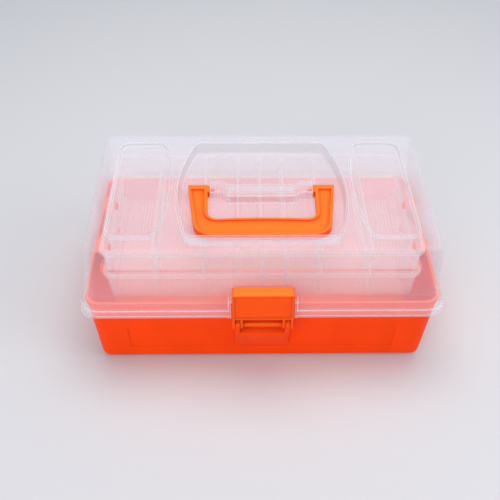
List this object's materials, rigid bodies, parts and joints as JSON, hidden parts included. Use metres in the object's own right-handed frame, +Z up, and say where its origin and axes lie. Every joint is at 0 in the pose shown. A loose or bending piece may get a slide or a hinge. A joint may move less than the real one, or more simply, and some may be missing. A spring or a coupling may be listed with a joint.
{
  "type": "fishing tackle box",
  "caption": "Portable cantilever tackle box: orange tub, frosted hinged lid with a fold-flat handle and front latch, and divided trays on swinging arms.",
  "frame": {"origin": "centre of the tub's underside", "axes": "+X to the right seen from the latch side, +Y to the back where the hinges are, +Z up"},
  "size_m": [0.33, 0.2098, 0.1416],
  "materials": {
    "tub_orange": "moulded polypropylene, satin",
    "lid_clear": "frosted translucent polypropylene",
    "handle_orange": "moulded polypropylene, satin",
    "latch_orange": "moulded polypropylene, satin",
    "tray_clear": "translucent polypropylene",
    "divider_clear": "translucent polypropylene",
    "arm_orange": "moulded polypropylene, satin",
    "pin_steel": "drawn steel rod"
  },
  "bodies": {
    "base": {"base_tub": "tub_orange", "hinge_pin_left": "pin_steel", "hinge_pin_right": "pin_steel"},
    "lid": {"lid": "lid_clear"},
    "handle": {"handle": "handle_orange"},
    "latch": {"latch": "latch_orange"},
    "lower_tray": {"lower_tray": "tray_clear", "lower_divider_left": "divider_clear", "lower_divider_centre": "divider_clear", "lower_divider_right": "divider_clear"},
    "upper_tray": {"upper_tray": "tray_clear", "upper_divider_left": "divider_clear", "upper_divider_centre": "divider_clear", "upper_divider_right": "divider_clear"},
    "long_arm_left": {"long_arm_left": "arm_orange"},
    "long_arm_right": {"long_arm_right": "arm_orange"},
    "short_front_arm_left": {"short_front_arm_left": "arm_orange"},
    "short_front_arm_right": {"short_front_arm_right": "arm_orange"},
    "short_rear_arm_left": {"short_rear_arm_left": "arm_orange"},
    "short_rear_arm_right": {"short_rear_arm_right": "arm_orange"}
  },
  "joints": [
    {"name": "lid_hinge", "type": "hinge", "parent": "base", "child": "lid", "pos_m": [0, 0.1035, 0.067], "axis": [-1, 0, 0], "range_deg": [0, 135]},
    {"name": "handle_pivot", "type": "hinge", "parent": "lid", "child": "handle", "pos_m": [0, 0.007, 0.1336], "axis": [-1, 0, 0], "range_deg": [0, 105]},
    {"name": "latch_pivot", "type": "hinge", "parent": "base", "child": "latch", "pos_m": [0, -0.0952, 0.058], "axis": [1, 0, 0], "range_deg": [0, 115]},
    {"name": "long_arm_pivot_left", "type": "hinge", "parent": "base", "child": "long_arm_left", "pos_m": [-0.1476, 0.06051, 0.0573], "axis": [-1, 0, 0], "range_deg": [0, 45]},
    {"name": "short_front_arm_pivot_left", "type": "hinge", "parent": "base", "child": "short_front_arm_left", "pos_m": [-0.1476, 0.00651, 0.0573], "axis": [-1, 0, 0], "range_deg": [0, 45]},
    {"name": "long_arm_pivot_right", "type": "hinge", "parent": "base", "child": "long_arm_right", "pos_m": [0.1476, 0.06051, 0.0573], "axis": [-1, 0, 0], "range_deg": [0, 45]},
    {"name": "short_front_arm_pivot_right", "type": "hinge", "parent": "base", "child": "short_front_arm_right", "pos_m": [0.1476, 0.00651, 0.0573], "axis": [-1, 0, 0], "range_deg": [0, 45]},
    {"name": "lower_tray_pivot", "type": "hinge", "parent": "long_arm_left", "child": "lower_tray", "pos_m": [-0.1476, 0.00651, 0.0838], "axis": [-1, 0, 0], "range_deg": [-45, 0]},
    {"name": "upper_tray_pivot", "type": "hinge", "parent": "long_arm_left", "child": "upper_tray", "pos_m": [-0.1476, -0.04749, 0.1103], "axis": [-1, 0, 0], "range_deg": [-45, 0]},
    {"name": "short_rear_arm_pivot_left", "type": "hinge", "parent": "lower_tray", "child": "short_rear_arm_left", "pos_m": [-0.1476, 0.06439, 0.0838], "axis": [-1, 0, 0], "range_deg": [0, 45]},
    {"name": "short_rear_arm_pivot_right", "type": "hinge", "parent": "lower_tray", "child": "short_rear_arm_right", "pos_m": [0.1476, 0.06439, 0.0838], "axis": [-1, 0, 0], "range_deg": [0, 45]}
  ],
  "couplings": [
    {"joint": "long_arm_pivot_left", "follows": "lid_hinge", "ratio": 0.33333},
    {"joint": "short_front_arm_pivot_left", "follows": "lid_hinge", "ratio": 0.33333},
    {"joint": "long_arm_pivot_right", "follows": "lid_hinge", "ratio": 0.33333},
    {"joint": "short_front_arm_pivot_right", "follows": "lid_hinge", "ratio": 0.33333},
    {"joint": "lower_tray_pivot", "follows": "lid_hinge", "ratio": -0.33333},
    {"joint": "upper_tray_pivot", "follows": "lid_hinge", "ratio": -0.33333},
    {"joint": "short_rear_arm_pivot_left", "follows": "lid_hinge", "ratio": 0.33333},
    {"joint": "short_rear_arm_pivot_right", "follows": "lid_hinge", "ratio": 0.33333}
  ]
}
